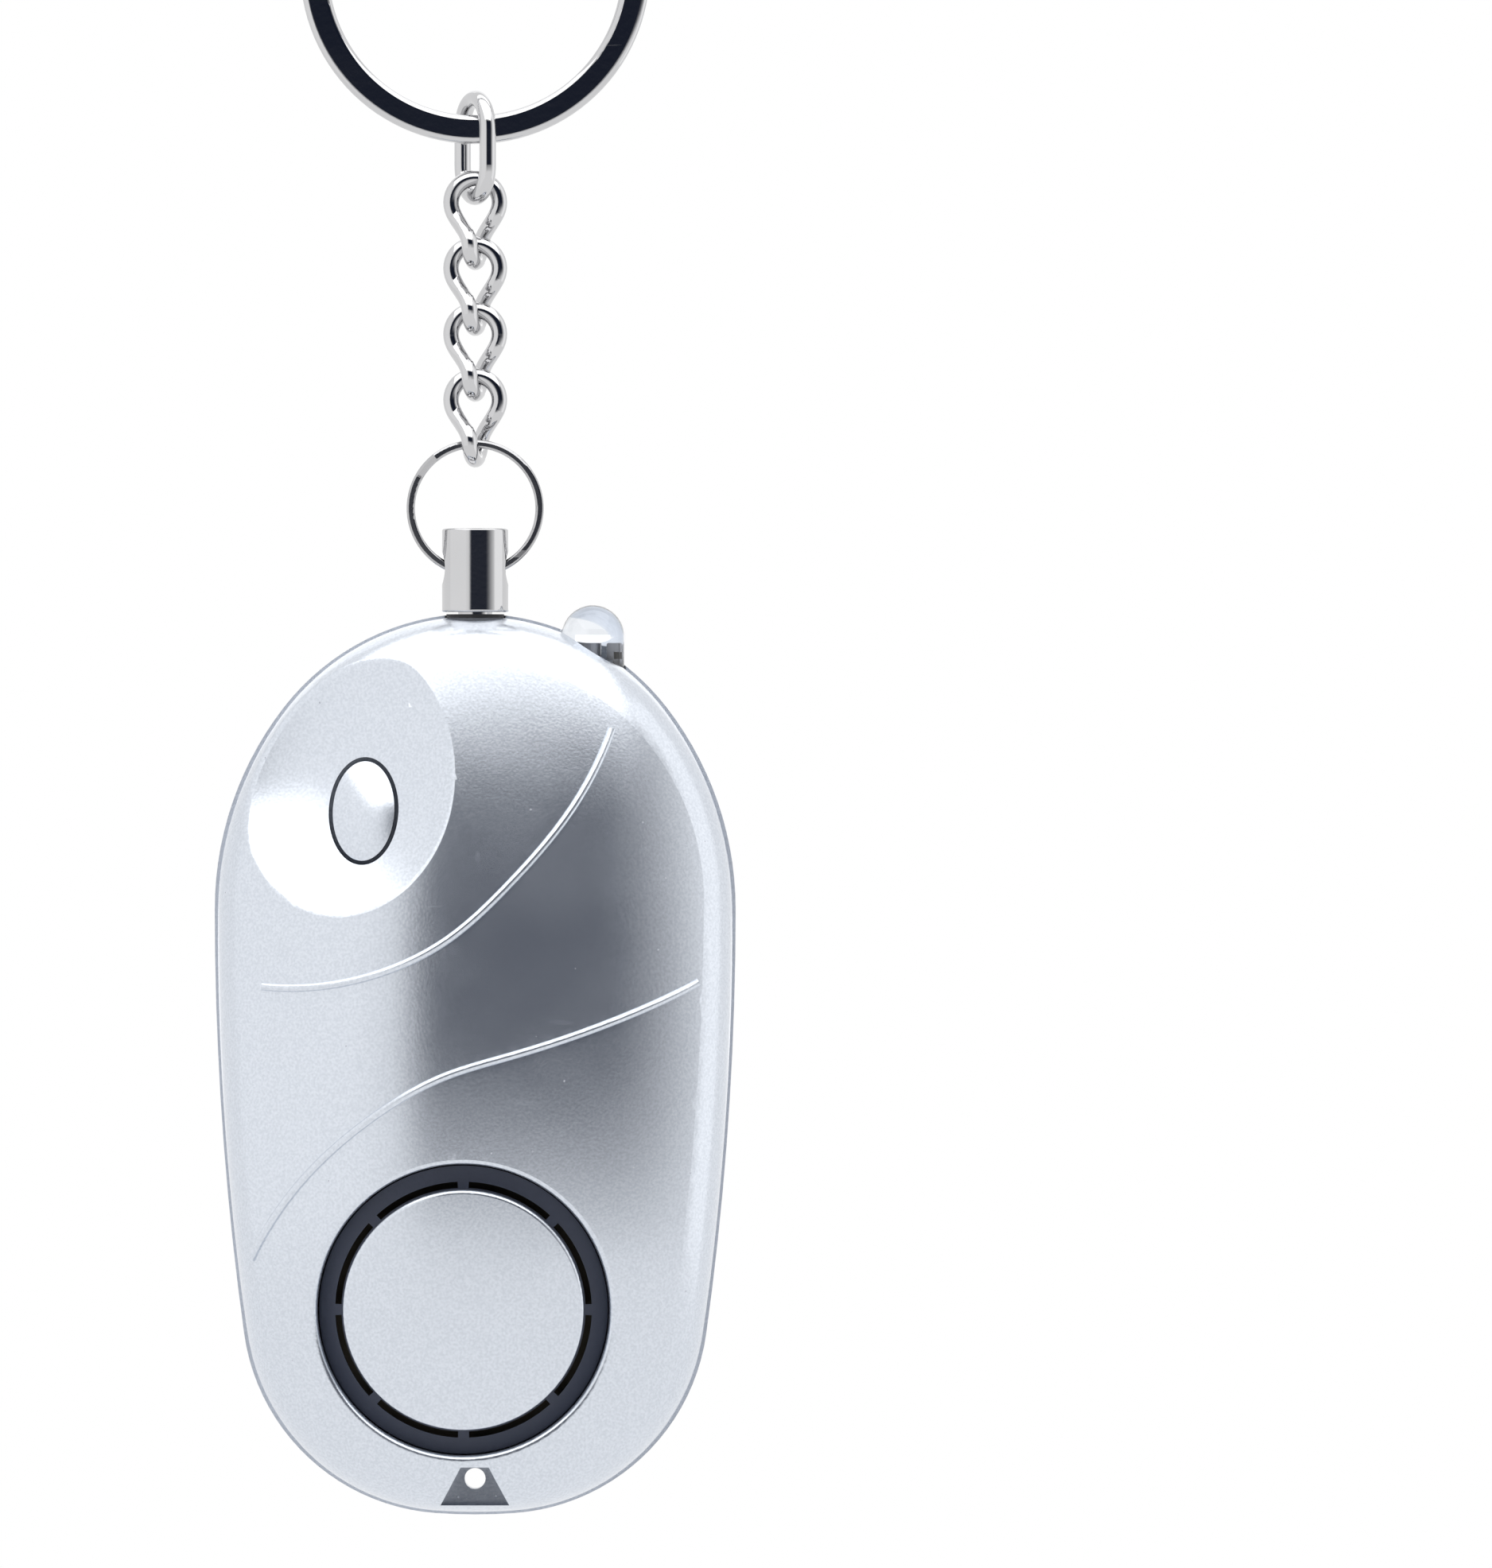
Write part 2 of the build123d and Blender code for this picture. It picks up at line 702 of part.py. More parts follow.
def screw(x, z, head_y, length, way):
    """A pan head screw with a cross recess; its point looks the given way along Y."""
    head = round_bar(x, z, screw_head, min(head_y, head_y - way * screw_head_height),
                     max(head_y, head_y - way * screw_head_height))
    shaft = round_bar(x, z, screw_thread - 4 * slide_gap, min(head_y, head_y + way * length),
                      max(head_y, head_y + way * length))
    outer_y = head_y - way * screw_head_height
    recess = Pos(x, outer_y, z) * (Box(screw_head * 0.6, screw_head_height, screw_cross)
                                   + Box(screw_cross, screw_head_height, screw_head * 0.6))
    return head + shaft - recess


def button_flange_y():
    """Depth at which the button's flange clears the underside of the dish's wall."""
    wide = button_width / 2 + button_flange
    tall = button_length / 2 + button_flange
    around = [radians(angle) for angle in range(0, 360, 15)]
    lowest = max(dish_y(button_x + wide * cos(turn), button_z + tall * sin(turn)) for turn in around)
    return lowest - dish_wall / dish_frame()[1].Y + fit_gap


def light_button():
    """The oval button: a domed head, a flange that keeps it in the case, and a stem."""
    top_y = dish_y(button_x, button_z) - button_proud
    flange_y = button_flange_y()
    half = button_length / 2
    dome = (half ** 2 / button_dome + button_dome) / 2
    head = slab(button_outline(0), top_y - 1, flange_y + button_flange_thickness)
    head &= Pos(*(Vector(button_x, top_y, button_z) - dish_frame()[1] * dome)) * Sphere(dome)
    flange = slab(button_outline(button_flange), flange_y, flange_y + button_flange_thickness)
    stem = round_bar(button_x, button_z, stem_diameter, flange_y, plunger_top())
    return head + flange + stem


def plunger_top():
    """Depth of the small switch's stem, where the button's stem meets it."""
    return board_front - tact_height - plunger_proud


def tact_switch():
    """The small push switch on the board, with a well for its stem."""
    half = tact_size / 2
    top_y = board_front - tact_height
    body = box_between((button_x - half, top_y, button_z - half),
                       (button_x + half, board_front, button_z + half))
    well = round_bar(button_x, button_z, plunger_diameter + 2 * fit_gap, top_y - 1, top_y + plunger_well)
    return chamfer(body.edges().filter_by(Axis.Y), tact_corner) - well


def tact_plunger():
    """The small switch's stem, which the light button pushes in."""
    low_y = board_front - tact_height + plunger_inside
    return round_bar(button_x, button_z, plunger_diameter, plunger_top(), low_y)


def sound_ring():
    """The dark insert of the sound slot: a floor parallel to the face, a skirt and three ears."""
    across = sound_hole / 2 - fit_gap
    disc = round_bar(sound_x, sound_z, 2 * across, -front_depth, -sound_seat)
    hollow = round_bar(sound_x, sound_z, 2 * (across - sound_skirt), -front_depth, 0)
    core = front_form(sound_floor) & disc
    body = core - (front_form(sound_floor + sound_floor_wall) & hollow)
    for turn in (90, 210, 330):
        ear = Rot(90, 0, 0) * Cylinder(across + sound_ear, sound_ear_thickness)
        ear -= Rot(90, 0, 0) * Cylinder(across - sound_skirt, 2 * sound_ear_thickness)
        reach = 2 * across
        ear &= Rot(0, -turn, 0) * Pos(reach / 2, 0, 0) * Box(reach, 2 * sound_ear_thickness, 6 * sound_ear)
        body += Pos(sound_x, -sound_seat - sound_ear_thickness / 2, sound_z) * ear
    slot_sweep = 360 / sound_slots - sound_slot_bridge
    for slot in range(sound_slots):
        start = slot * 360 / sound_slots + sound_slot_bridge / 2
        middle = sound_cap_diameter / 2 + fit_gap + sound_slot_width / 2
        cutter = ring_sector(middle, sound_slot_width, front_depth, 0, start, slot_sweep)
        body -= Pos(sound_x, -front_depth / 2, sound_z) * cutter
    return body


def sound_cap():
    """The silver disc in the middle of the sound outlet; its face follows the case's crown."""
    disc = round_bar(sound_x, sound_z, sound_cap_diameter, -front_depth, 0)
    body = (front_form(0) & disc) - front_form(sound_floor - slide_gap)
    rim = body.edges().sort_by(lambda edge: edge.center().Y)
    front_rim = [edge for edge in rim if edge.length > sound_cap_diameter][:1]
    return fillet(front_rim, sound_cap_round)


def siren_cup():
    """The sounder's cup: a wall, a ledge for the sounding plate and a floor with two lead holes."""
    low = -sound_seat
    high = low + cup_length
    body = round_bar(sound_x, sound_z, cup_outer, low, high)
    inner = cup_outer - 2 * cup_wall
    body -= round_bar(sound_x, sound_z, inner, low - 1, plate_seat())
    body -= round_bar(sound_x, sound_z, inner - 2 * cup_ledge, low, high - cup_floor)
    for side, rise in zip((1, -1), lead_cup_rises):
        body -= round_bar(sound_x + side * lead_cup_x, sound_z + rise, lead_hole, low, high + 1)
    return body


def plate_seat():
    """Depth of the ledge that the sounding plate lies on."""
    return cup_mouth - sound_seat + piezo_thickness


def piezo_plate():
    """The round brass plate of the sounder."""
    across = cup_outer - 2 * cup_wall - 2 * fit_gap
    return round_bar(sound_x, sound_z, across, plate_seat() - piezo_thickness, plate_seat())


def piezo_ceramic():
    """The ceramic disc on the back of the brass plate."""
    return round_bar(sound_x, sound_z, ceramic_diameter, plate_seat(), plate_seat() + ceramic_thickness)


def lamp_lens():
    """The clear lamp: a domed body with a flange at its base."""
    top, flange_top, base = lamp_levels()
    radius = lamp_diameter / 2
    body = upright_bar(lamp_x, base, top - radius, lamp_diameter)
    body += Pos(lamp_x, 0, top - radius) * Sphere(radius)
    return body + upright_bar(lamp_x, base, flange_top, lamp_flange)


def lamp_leads():
    """The lamp's two legs, bent back to the board."""
    base = lamp_levels()[2]
    low = case_top - board_top_drop - lamp_lead_pitch
    legs = []
    for side in (-1, 1):
        x = lamp_x + side * lamp_lead_pitch / 2
        left, right = x - lamp_lead / 2, x + lamp_lead / 2
        leg = box_between((left, -lamp_lead / 2, low), (right, lamp_lead / 2, base))
        leg += box_between((left, -lamp_lead / 2, low), (right, board_front, low + lamp_lead))
        legs.append(leg.solid())
    return Compound(children=legs)


def circuit_board():
    """The board, cut to the case's outline, with two screw holes."""
    area = box_between((-board_left, board_front, case_top - board_bottom_drop),
                       (board_right, board_front + board_thickness, case_top - board_top_drop))
    body = area & slab(case_outline(wall + board_edge_gap), 0, back_depth)
    for x, z in board_posts():
        body -= round_bar(x, z, screw_thread + 2 * fit_gap, 0, back_depth)
    x, drop = case_screw_spots[2]
    return body - round_bar(x, case_top + drop, boss_diameter + 2 * part_gap, 0, back_depth)


def boost_coil():
    """The step-up coil: a drum with a waist."""
    z = case_top - coil_drop
    top_y = board_front - coil_height
    body = round_bar(coil_x, z, coil_diameter, top_y, top_y + coil_rim)
    body += round_bar(coil_x, z, coil_diameter - 2 * coil_rim, top_y, board_front)
    return body + round_bar(coil_x, z, coil_diameter, board_front - coil_rim, board_front)


def boost_transistor():
    """The driver transistor, a round body with one flat side."""
    z = case_top - transistor_drop
    body = round_bar(transistor_x, z, transistor_diameter, board_front - transistor_height, board_front)
    reach = transistor_diameter
    return body - box_between((transistor_x - reach, -front_depth, z - reach),
                              (transistor_x + reach, back_depth, z - transistor_flat))


def sound_chip():
    """The tone chip on the back of the board."""
    z = case_top - chip_drop
    low = board_front + board_thickness
    return box_between((-chip_length / 2, low, z - chip_width / 2),
                       (chip_length / 2, low + chip_height, z + chip_width / 2))


def pin_socket():
    """The black socket of the pull pin: a neck in the case's top, a flange and a barrel."""
    flange_top, flange_low, low = socket_levels()
    body = upright_bar(0, flange_low, case_top - slide_gap, pin_head - 2 * pin_groove)
    body += upright_bar(0, flange_low, flange_top, socket_flange)
    body += upright_bar(0, low, flange_low, socket_outer)
    return body - upright_bar(0, low - 1, case_top + 1, pin_shank + 2 * slide_gap)


def socket_contacts():
    """The two contact strips that the pin's shank keeps apart, each with a foot on the board."""
    top = socket_levels()[2] - part_gap
    low = top - contact_length
    strips = []
    for side in (-1, 1):
        near = side * (pin_shank / 2 + fit_gap)
        far = near + side * contact_thickness
        left, right = min(near, far), max(near, far)
        strip = box_between((left, -contact_width / 2, low), (right, board_front, top))
        strip -= box_between((left - 1, contact_width / 2, low + contact_width),
                             (right + 1, board_front + 1, top + 1))
        strips.append(strip.solid())
    return Compound(children=strips)


def cell_stack():
    """Lowest and highest X of the row of cells; the contact plate stands at the low end."""
    length = cell_count * cell_height
    low = -(length + spring_space + plate_thickness) / 2 + plate_thickness
    return low, low + length


def coin_cell(index):
    """A button cell: a can and its smaller cap, with its axis across the case."""
    low = cell_stack()[0] + index * cell_height
    can = cell_height - cell_cap_height
    body = Pos(low + can / 2, cell_y, cell_z) * Rot(0, 90, 0) * Cylinder(cell_diameter / 2, can)
    cap = Pos(low + cell_height - cell_cap_height / 2, cell_y, cell_z) * Rot(0, 90, 0)
    body += cap * Cylinder(cell_cap_diameter / 2, cell_cap_height)
    return body


def battery_cradle():
    """The open frame that holds the cells, with an end wall at each side."""
    low, high = cell_stack()
    inner = (low - plate_thickness, high + spring_space)
    body = box_between((inner[0] - cradle_wall, -cradle_front, cell_z - cradle_half_height),
                       (inner[1] + cradle_wall, back_depth - wall - fit_gap, cell_z + cradle_half_height))
    room = Rot(0, 90, 0) * Cylinder(cell_diameter / 2 + fit_gap, inner[1] - inner[0])
    room += Pos(0, back_depth / 2, 0) * Box(inner[1] - inner[0], back_depth, cell_diameter / 2)
    room += Pos(0, -back_depth / 2, 0) * Box(inner[1] - inner[0], back_depth, cell_diameter + 2 * fit_gap)
    return body - Pos((inner[0] + inner[1]) / 2, cell_y, cell_z) * room


def cell_contact():
    """The flat contact plate at the low end of the cells."""
    low = cell_stack()[0] - plate_thickness
    high = low + plate_thickness
    half = spring_width / 2
    return box_between((low, cell_y - half, cell_z - half), (high, cell_y + half, cell_z + half))


def cell_spring():
    """The bent leaf spring at the high end of the cells."""
    low = cell_stack()[1]
    high = low + spring_space
    y = cell_y
    half = spring_width / 2
    path = Polyline((high - spring_leaf / 2, y + half), (high - spring_leaf / 2, y - half),
                    (low + spring_leaf / 2 + slide_gap, y), (high - 3 * spring_leaf, y + half * 0.8))
    ribbon = trace(path, spring_leaf)
    return extrude(Pos(0, 0, cell_z - half) * ribbon, spring_width)


def siren_leads():
    """Two thin insulated leads from the board, beside the cells, to the sounder."""
    leads = []
    ends = (plate_seat() + ceramic_thickness, plate_seat())
    for side, rise, end_y in zip((1, -1), lead_cup_rises, ends):
        cup_x = sound_x + side * lead_cup_x
        points = [
            (side * lead_board_x, board_front + board_thickness, case_top - lead_board_drop),
            (side * lead_board_x, lead_depth, case_top - lead_board_drop),
            (side * lead_side_x, lead_depth, case_top - lead_side_drop),
            (side * lead_side_x, lead_depth, case_top - lead_turn_drop),
            (cup_x, lead_depth, sound_z + rise),
            (cup_x, end_y, sound_z + rise),
        ]
        path = FilletPolyline(*points, radius=bend_radii(points))
        leads.append(tube(path, lead_diameter).solid())
    return Compound(children=leads)


def bend_radii(points):
    """A radius for each corner of a route, as large as the two runs beside it allow."""
    radii = []
    for before, here, after in zip(points, points[1:], points[2:]):
        inward = Vector(here) - Vector(before)
        outward = Vector(after) - Vector(here)
        turn = radians(inward.get_angle(outward))
        radii.append(lead_bend_share * min(inward.length, outward.length) / tan(turn / 2))
    return radii


def case_screws():
    """The screws that hold the two shells together, in from the back."""
    return Compound(children=[screw(x, case_top + drop, case_screw_seat(), case_screw_length, -1).solid()
                              for x, drop in case_screw_spots])


def board_screws():
    """The two screws of the circuit board, in from the front."""
    return Compound(children=[screw(x, z, board_front, board_screw_length, 1).solid()
                              for x, z in board_posts()])


pieces = {
    "key_ring": split_ring(key_ring_outer, key_ring_width, key_ring_turn, key_ring_turn_gap, key_ring_z),
    "top_link": oval_link(),
    "small_ring": split_ring(small_ring_outer, small_ring_width, small_ring_turn, small_ring_turn_gap,
                             small_ring_z),
    "pull_pin": pull_pin(),
    "front_shell": front_shell(),
    "back_shell": back_shell(),
    "light_button": light_button(),
    "tact_switch": tact_switch(),
    "tact_plunger": tact_plunger(),
    "sound_ring": sound_ring(),
    "sound_cap": sound_cap(),
    "siren_cup": siren_cup(),
    "piezo_plate": piezo_plate(),
    "piezo_ceramic": piezo_ceramic(),
    "siren_leads": siren_leads(),
    "lamp_lens": lamp_lens(),
    "lamp_leads": lamp_leads(),
    "circuit_board": circuit_board(),
    "boost_coil": boost_coil(),
    "boost_transistor": boost_transistor(),
    "sound_chip": sound_chip(),
    "pin_socket": pin_socket(),
    "socket_contacts": socket_contacts(),
    "battery_cradle": battery_cradle(),
    "cell_contact": cell_contact(),
    "cell_spring": cell_spring(),
    "case_screws": case_screws(),
    "board_screws": board_screws(),
}
for number in range(chain_links):
    pieces[f"chain_link_{number + 1}"] = chain_link(chain_top_z - number * chain_pitch)
for number in range(cell_count):
    pieces[f"coin_cell_{number + 1}"] = coin_cell(number)

os.makedirs("parts", exist_ok=True)
for name, piece in pieces.items():
    export_step(piece, f"parts/{name}.step")
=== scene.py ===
import math

import bmesh
import bpy
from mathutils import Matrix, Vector


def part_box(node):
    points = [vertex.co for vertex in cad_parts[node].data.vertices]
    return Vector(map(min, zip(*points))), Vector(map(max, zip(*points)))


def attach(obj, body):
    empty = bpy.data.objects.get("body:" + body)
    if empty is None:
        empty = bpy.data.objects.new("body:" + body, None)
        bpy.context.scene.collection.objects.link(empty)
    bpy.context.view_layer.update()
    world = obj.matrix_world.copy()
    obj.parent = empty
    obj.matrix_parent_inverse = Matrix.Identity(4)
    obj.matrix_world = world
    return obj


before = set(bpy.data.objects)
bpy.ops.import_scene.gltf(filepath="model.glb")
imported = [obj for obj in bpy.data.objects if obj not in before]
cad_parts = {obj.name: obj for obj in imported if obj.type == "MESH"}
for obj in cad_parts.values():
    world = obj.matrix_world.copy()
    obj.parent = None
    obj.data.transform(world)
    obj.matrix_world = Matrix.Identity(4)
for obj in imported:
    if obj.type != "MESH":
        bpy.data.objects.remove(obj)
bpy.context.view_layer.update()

# Camera: level and straight at the face, through a long lens. The alarm hangs well left of
# the picture's middle, and the key ring's upper part is out of the picture.
MM = 0.001
PICTURE_HEIGHT_PX = 1972
METRES_PER_PX = 0.0568 * MM
PICTURE_CENTRE = Vector((19.34 * MM, 0.0, -68.67 * MM))
CAMERA_DISTANCE = 2.6
NEAREST_SEEN = 0.05
FARTHEST_SEEN = 20.0
SENSOR = 36.0

camera_data = bpy.data.cameras.new("camera")
camera_data.sensor_width = SENSOR
camera_data.lens = SENSOR * CAMERA_DISTANCE / (PICTURE_HEIGHT_PX * METRES_PER_PX)
camera_data.clip_start = NEAREST_SEEN
camera_data.clip_end = FARTHEST_SEEN
camera = bpy.data.objects.new("camera", camera_data)
camera.location = PICTURE_CENTRE - Vector((0.0, CAMERA_DISTANCE, 0.0))
camera.rotation_euler = (math.radians(90), 0.0, 0.0)
bpy.context.scene.collection.objects.link(camera)
bpy.context.scene.camera = camera
bpy.context.scene.view_settings.view_transform = "Standard"

# Floor: a pale matt disc under the hanging alarm. It keeps the alarm's shadow, and
# polished surfaces mirror it as plain white.
WHITE = (1.0, 1.0, 1.0, 1.0)
FLOOR_COLOUR = (0.9, 0.9, 0.9, 1.0)
FLOOR_ROUGHNESS = 0.8
FLOOR_HEIGHT = -0.150
FLOOR_RADIUS = 0.22
FLOOR_STEPS = 128
FLOOR_LIFT = 0.6


def maths(tree, operation, first, second):
    """A maths node whose inputs are sockets or numbers; gives its output socket."""
    node = tree.nodes.new("ShaderNodeMath")
    node.operation = operation
    for index, value in enumerate((first, second)):
        if isinstance(value, (int, float)):
            node.inputs[index].default_value = value
        else:
            tree.links.new(value, node.inputs[index])
    return node.outputs[0]


def polished_rays(tree, seen):
    """1 for a mirrored ray or one through clear resin, else 0."""
    return maths(tree, "MAXIMUM", seen.outputs["Is Glossy Ray"], seen.outputs["Is Transmission Ray"])


def new_material(name):
    """A node material with its shader, ready for sockets to be set."""
    material = bpy.data.materials.new(name)
    material.use_nodes = True
    tree = material.node_tree
    return material, tree, tree.nodes["Principled BSDF"]


def finished_object(name, builder, material):
    """A mesh object made from a bmesh, with one material."""
    bmesh.ops.recalc_face_normals(builder, faces=builder.faces)
    mesh = bpy.data.meshes.new(name)
    builder.to_mesh(mesh)
    builder.free()
    mesh.materials.append(material)
    piece = bpy.data.objects.new(name, mesh)
    bpy.context.scene.collection.objects.link(piece)
    return piece


def floor_paint():
    """Matt pale paint, with a share of plain white for the camera and all white in reflections."""
    material, tree, shader = new_material("studio_floor")
    shader.inputs["Base Color"].default_value = FLOOR_COLOUR
    shader.inputs["Roughness"].default_value = FLOOR_ROUGHNESS
    seen = tree.nodes.new("ShaderNodeLightPath")
    lifted = maths(tree, "MULTIPLY", seen.outputs["Is Camera Ray"], FLOOR_LIFT)
    glow = tree.nodes.new("ShaderNodeEmission")
    glow.inputs["Color"].default_value = WHITE
    mix = tree.nodes.new("ShaderNodeMixShader")
    tree.links.new(maths(tree, "MAXIMUM", polished_rays(tree, seen), lifted), mix.inputs[0])
    tree.links.new(shader.outputs[0], mix.inputs[1])
    tree.links.new(glow.outputs[0], mix.inputs[2])
    tree.links.new(mix.outputs[0], tree.nodes["Material Output"].inputs["Surface"])
    return material


def studio_floor():
    """The floor's disc."""
    builder = bmesh.new()
    bmesh.ops.create_circle(builder, cap_ends=True, segments=FLOOR_STEPS, radius=FLOOR_RADIUS)
    bmesh.ops.translate(builder, verts=builder.verts, vec=(0.0, 0.0, FLOOR_HEIGHT))
    return finished_object("studio_floor", builder, floor_paint())


studio_floor()

# Surround: white all round for the camera. The polished face mirrors a dark gap in front,
# to the right, whose edges are angles in degrees, the outer end of each fade first.
ROOM_GREY = (0.25, 0.27, 0.33, 1.0)
GAP_DARK = (0.012, 0.016, 0.03, 1.0)
GAP_LEFT = (-24, -12)
GAP_RIGHT = (78, 36)
GAP_TOP = (29, 22)
GAP_LOW = (-21, 2)


def fade(tree, angle, outside, inside):
    """A smooth step from 0 at one angle to 1 at another."""
    edge = tree.nodes.new("ShaderNodeMapRange")
    edge.interpolation_type = "SMOOTHSTEP"
    edge.inputs["From Min"].default_value = math.radians(outside)
    edge.inputs["From Max"].default_value = math.radians(inside)
    tree.links.new(angle, edge.inputs["Value"])
    return edge.outputs["Result"]


def dark_gap(tree):
    """1 inside the dark gap in front of the alarm and 0 outside it, by direction."""
    place = tree.nodes.new("ShaderNodeTexCoord")
    parts = tree.nodes.new("ShaderNodeSeparateXYZ")
    tree.links.new(place.outputs["Generated"], parts.inputs[0])
    front = maths(tree, "MULTIPLY", parts.outputs["Y"], -1.0)
    around = maths(tree, "ARCTAN2", parts.outputs["X"], front)
    above = maths(tree, "ARCSINE", parts.outputs["Z"], 0.0)
    across = maths(tree, "MULTIPLY", fade(tree, around, *GAP_LEFT), fade(tree, around, *GAP_RIGHT))
    along = maths(tree, "MULTIPLY", fade(tree, above, *GAP_TOP), fade(tree, above, *GAP_LOW))
    return maths(tree, "MULTIPLY", across, along)


def background(tree, colour):
    """A background shader of one plain colour."""
    node = tree.nodes.new("ShaderNodeBackground")
    node.inputs["Color"].default_value = colour
    return node


def mixed(tree, factor, first, second):
    """Two shaders mixed by a factor; gives the mix shader."""
    node = tree.nodes.new("ShaderNodeMixShader")
    tree.links.new(factor, node.inputs[0])
    tree.links.new(first.outputs[0], node.inputs[1])
    tree.links.new(second.outputs[0], node.inputs[2])
    return node


def studio_room():
    """The world: soft grey light, white for the camera, white with a dark gap for reflections."""
    world = bpy.data.worlds.new("studio")
    bpy.context.scene.world = world
    world.use_nodes = True
    tree = world.node_tree
    seen = tree.nodes.new("ShaderNodeLightPath")
    white = background(tree, WHITE)
    mirror = mixed(tree, dark_gap(tree), white, background(tree, GAP_DARK))
    room = mixed(tree, polished_rays(tree, seen), background(tree, ROOM_GREY), mirror)
    shown = mixed(tree, seen.outputs["Is Camera Ray"], room, white)
    tree.links.new(shown.outputs[0], tree.nodes["World Output"].inputs["Surface"])


studio_room()

# Lamps: broad soft boxes at the left, the right and behind, and a large one overhead that
# reaches back over the top, so that both shoulders mirror it.
ALARM_MIDDLE = Vector((0.0, 0.0, -0.085))


def soft_lamp(name, azimuth, elevation, distance, width, height, radiance):
    """A rectangular soft lamp that looks at the alarm; azimuth 0 is in front of the face."""
    data = bpy.data.lights.new(name, "AREA")
    data.shape = "RECTANGLE"
    data.size = width
    data.size_y = height
    data.energy = radiance * math.pi * width * height
    lamp = bpy.data.objects.new(name, data)
    turn = math.radians(azimuth)
    rise = math.radians(elevation)
    way = Vector((math.sin(turn) * math.cos(rise), -math.cos(turn) * math.cos(rise), math.sin(rise)))
    lamp.location = ALARM_MIDDLE + way * distance
    lamp.rotation_mode = "QUATERNION"
    lamp.rotation_quaternion = way.to_track_quat("Z", "Y")
    bpy.context.scene.collection.objects.link(lamp)


soft_lamp("left_lamp", azimuth=-62, elevation=5, distance=0.8, width=1.0, height=1.3, radiance=0.08)
soft_lamp("top_lamp", azimuth=8, elevation=72, distance=0.8, width=1.6, height=1.4, radiance=1.0)
soft_lamp("right_lamp", azimuth=88, elevation=5, distance=0.9, width=0.6, height=1.3, radiance=0.25)
soft_lamp("back_lamp", azimuth=180, elevation=25, distance=1.0, width=1.0, height=1.0, radiance=0.32)

# Front cover, light button and sound cap: moulded plastic in a satin silver lacquer with
# fine metal flake. A few dust specks and faint hairlines lie on it.
SILVER_LIGHT = (0.755, 0.795, 0.855)
SILVER_DEEP = (0.675, 0.715, 0.775)
FLAKES_PER_METRE = 5200.0
FLAKE_RANGE = (0.35, 0.65)
FLAKE_HEIGHT = 0.01 * MM
FLAKE_RELIEF = 0.3
DUST_COLOUR = (0.82, 0.83, 0.85)
DUST_SPACING = 2.4 * MM
DUST_RADIUS = 0.07 * MM
LACQUER_SCUFFS = 0.03
CLEAR_COAT = 0.15
CLEAR_COAT_ROUGHNESS = 0.2
DRIFT_PER_METRE = 160.0
DRIFT_DETAIL = 4.0
HAZE_RANGE = (0.3, 0.7)
HAZE_STEP = 0.05
UPRIGHT_HAIRLINES = {"per_metre": 900.0, "stretch": (1.0, 1.0, 0.06), "cut": 0.72}
LEVEL_HAIRLINES = {"per_metre": 1100.0, "stretch": (0.08, 1.0, 1.0), "cut": 0.74}


def effect_group(name, inputs, outputs):
    """A shader node group with named inputs and outputs, fed with a position."""
    group = bpy.data.node_groups.new(name, "ShaderNodeTree")
    for socket in inputs:
        group.interface.new_socket(socket, in_out="INPUT", socket_type="NodeSocketFloat")
    group.interface.new_socket("Position", in_out="INPUT", socket_type="NodeSocketVector")
    for socket in outputs:
        group.interface.new_socket(socket, in_out="OUTPUT", socket_type="NodeSocketFloat")
    return group, group.nodes.new("NodeGroupInput"), group.nodes.new("NodeGroupOutput")


def noise(tree, position, per_metre, detail=2.0, stretch=(1.0, 1.0, 1.0)):
    """Noise of so many waves per metre, stretched along the axes as asked."""
    mapping = tree.nodes.new("ShaderNodeMapping")
    mapping.inputs["Scale"].default_value = stretch
    tree.links.new(position, mapping.inputs["Vector"])
    texture = tree.nodes.new("ShaderNodeTexNoise")
    texture.inputs["Scale"].default_value = per_metre
    texture.inputs["Detail"].default_value = detail
    tree.links.new(mapping.outputs["Vector"], texture.inputs["Vector"])
    return texture.outputs["Fac"]


def grain_group():
    """Fine grain with slow drift: Grain is the speckle and Drift the haze."""
    group, start, end = effect_group("fine_grain", ("Grains per metre",), ("Grain", "Drift"))
    position = start.outputs["Position"]
    fine = group.nodes.new("ShaderNodeTexNoise")
    fine.inputs["Detail"].default_value = 1.0
    group.links.new(start.outputs["Grains per metre"], fine.inputs["Scale"])
    group.links.new(position, fine.inputs["Vector"])
    group.links.new(fine.outputs["Fac"], end.inputs["Grain"])
    group.links.new(noise(group, position, DRIFT_PER_METRE, DRIFT_DETAIL), end.inputs["Drift"])
    return group


def hairlines(group, position, per_metre, stretch, cut):
    """Thin lines along one direction: 1 where stretched noise passes the cut, else 0."""
    waves = noise(group, position, per_metre, stretch=stretch)
    return maths(group, "GREATER_THAN", waves, cut)


def scuff_group():
    """Hairline scuffs along two directions."""
    group, start, end = effect_group("hairline_scuffs", ("Amount",), ("Scuffs",))
    upright = hairlines(group, start.outputs["Position"], **UPRIGHT_HAIRLINES)
    level = hairlines(group, start.outputs["Position"], **LEVEL_HAIRLINES)
    lines = maths(group, "MAXIMUM", upright, level)
    group.links.new(maths(group, "MULTIPLY", lines, start.outputs["Amount"]), end.inputs["Scuffs"])
    return group


